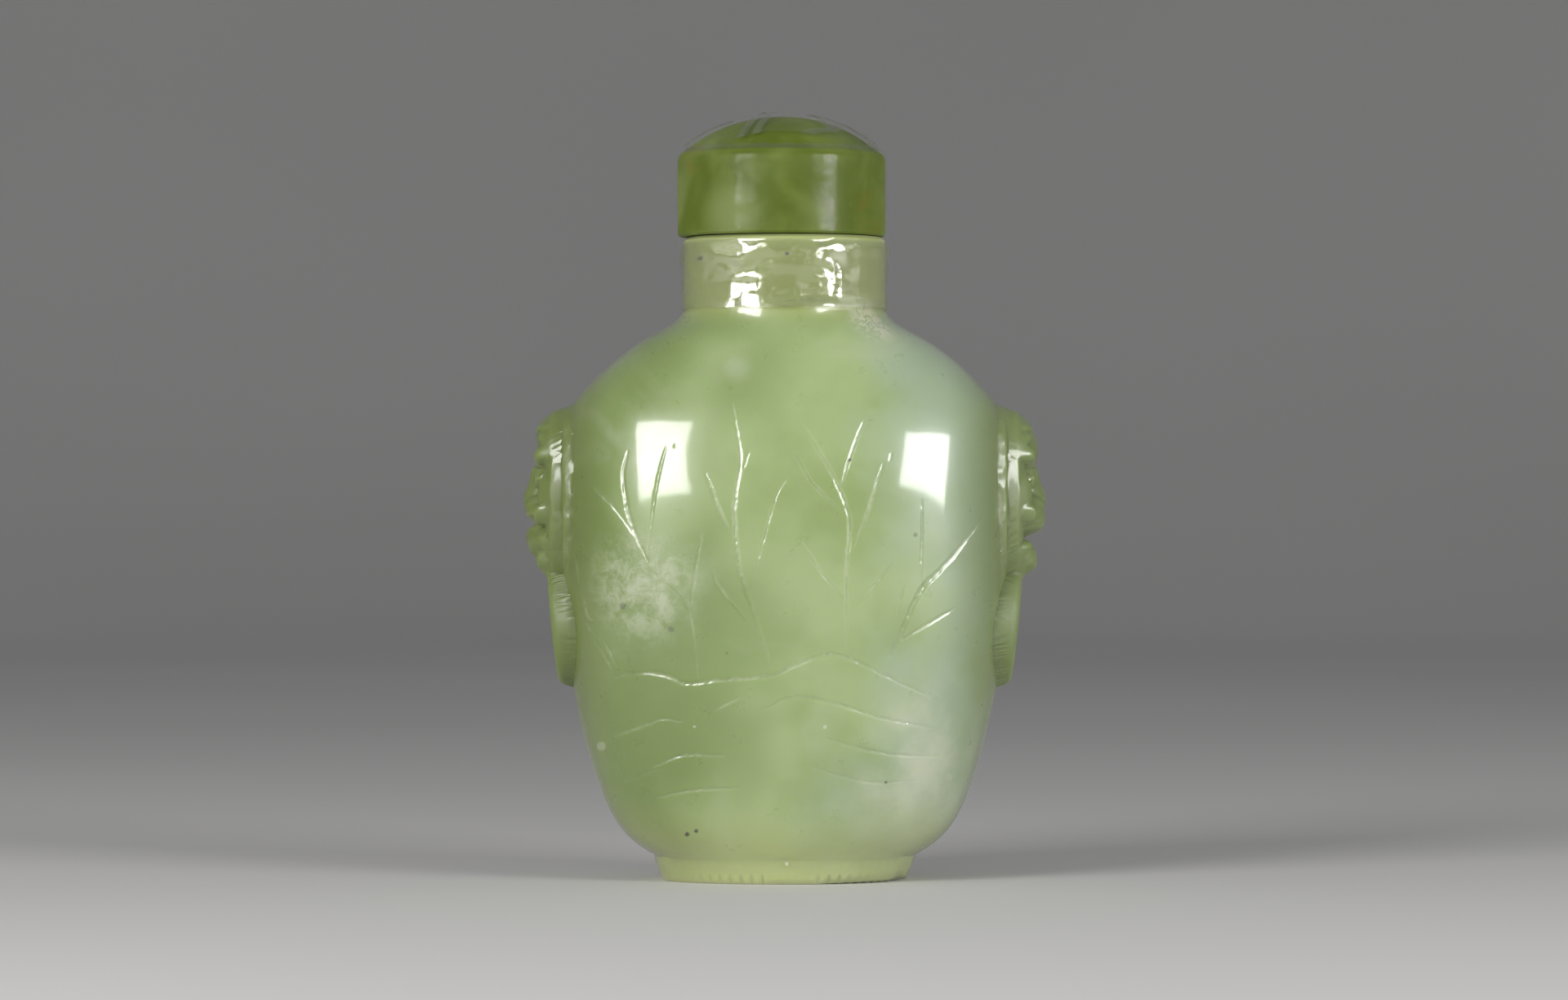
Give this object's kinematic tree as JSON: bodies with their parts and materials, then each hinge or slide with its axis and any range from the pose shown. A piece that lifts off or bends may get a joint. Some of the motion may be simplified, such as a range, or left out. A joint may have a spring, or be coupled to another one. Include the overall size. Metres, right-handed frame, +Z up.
{
  "type": "snuff bottle",
  "caption": "Flattened, shouldered snuff bottle of carved pale jade on an oval foot, with mask-and-ring handles in relief and a low domed stopper of darker stone held on by clear film.",
  "frame": {"origin": "middle of the foot, on the surface that the bottle stands on", "axes": "+Z up along the neck's axis; +X to the right across the broad front; the broad front looks along -Y"},
  "size_m": [0.0478, 0.0272, 0.07],
  "materials": {
    "pale_jade": "polished translucent pale green nephrite with cloudy patches",
    "dark_jade": "polished mottled olive-green nephrite",
    "clear_film": "thin clear adhesive film, creased and glossy"
  },
  "bodies": {
    "root": {"bottle": "pale_jade", "stopper": "dark_jade", "clear_tape": "clear_film"}
  },
  "joints": []
}
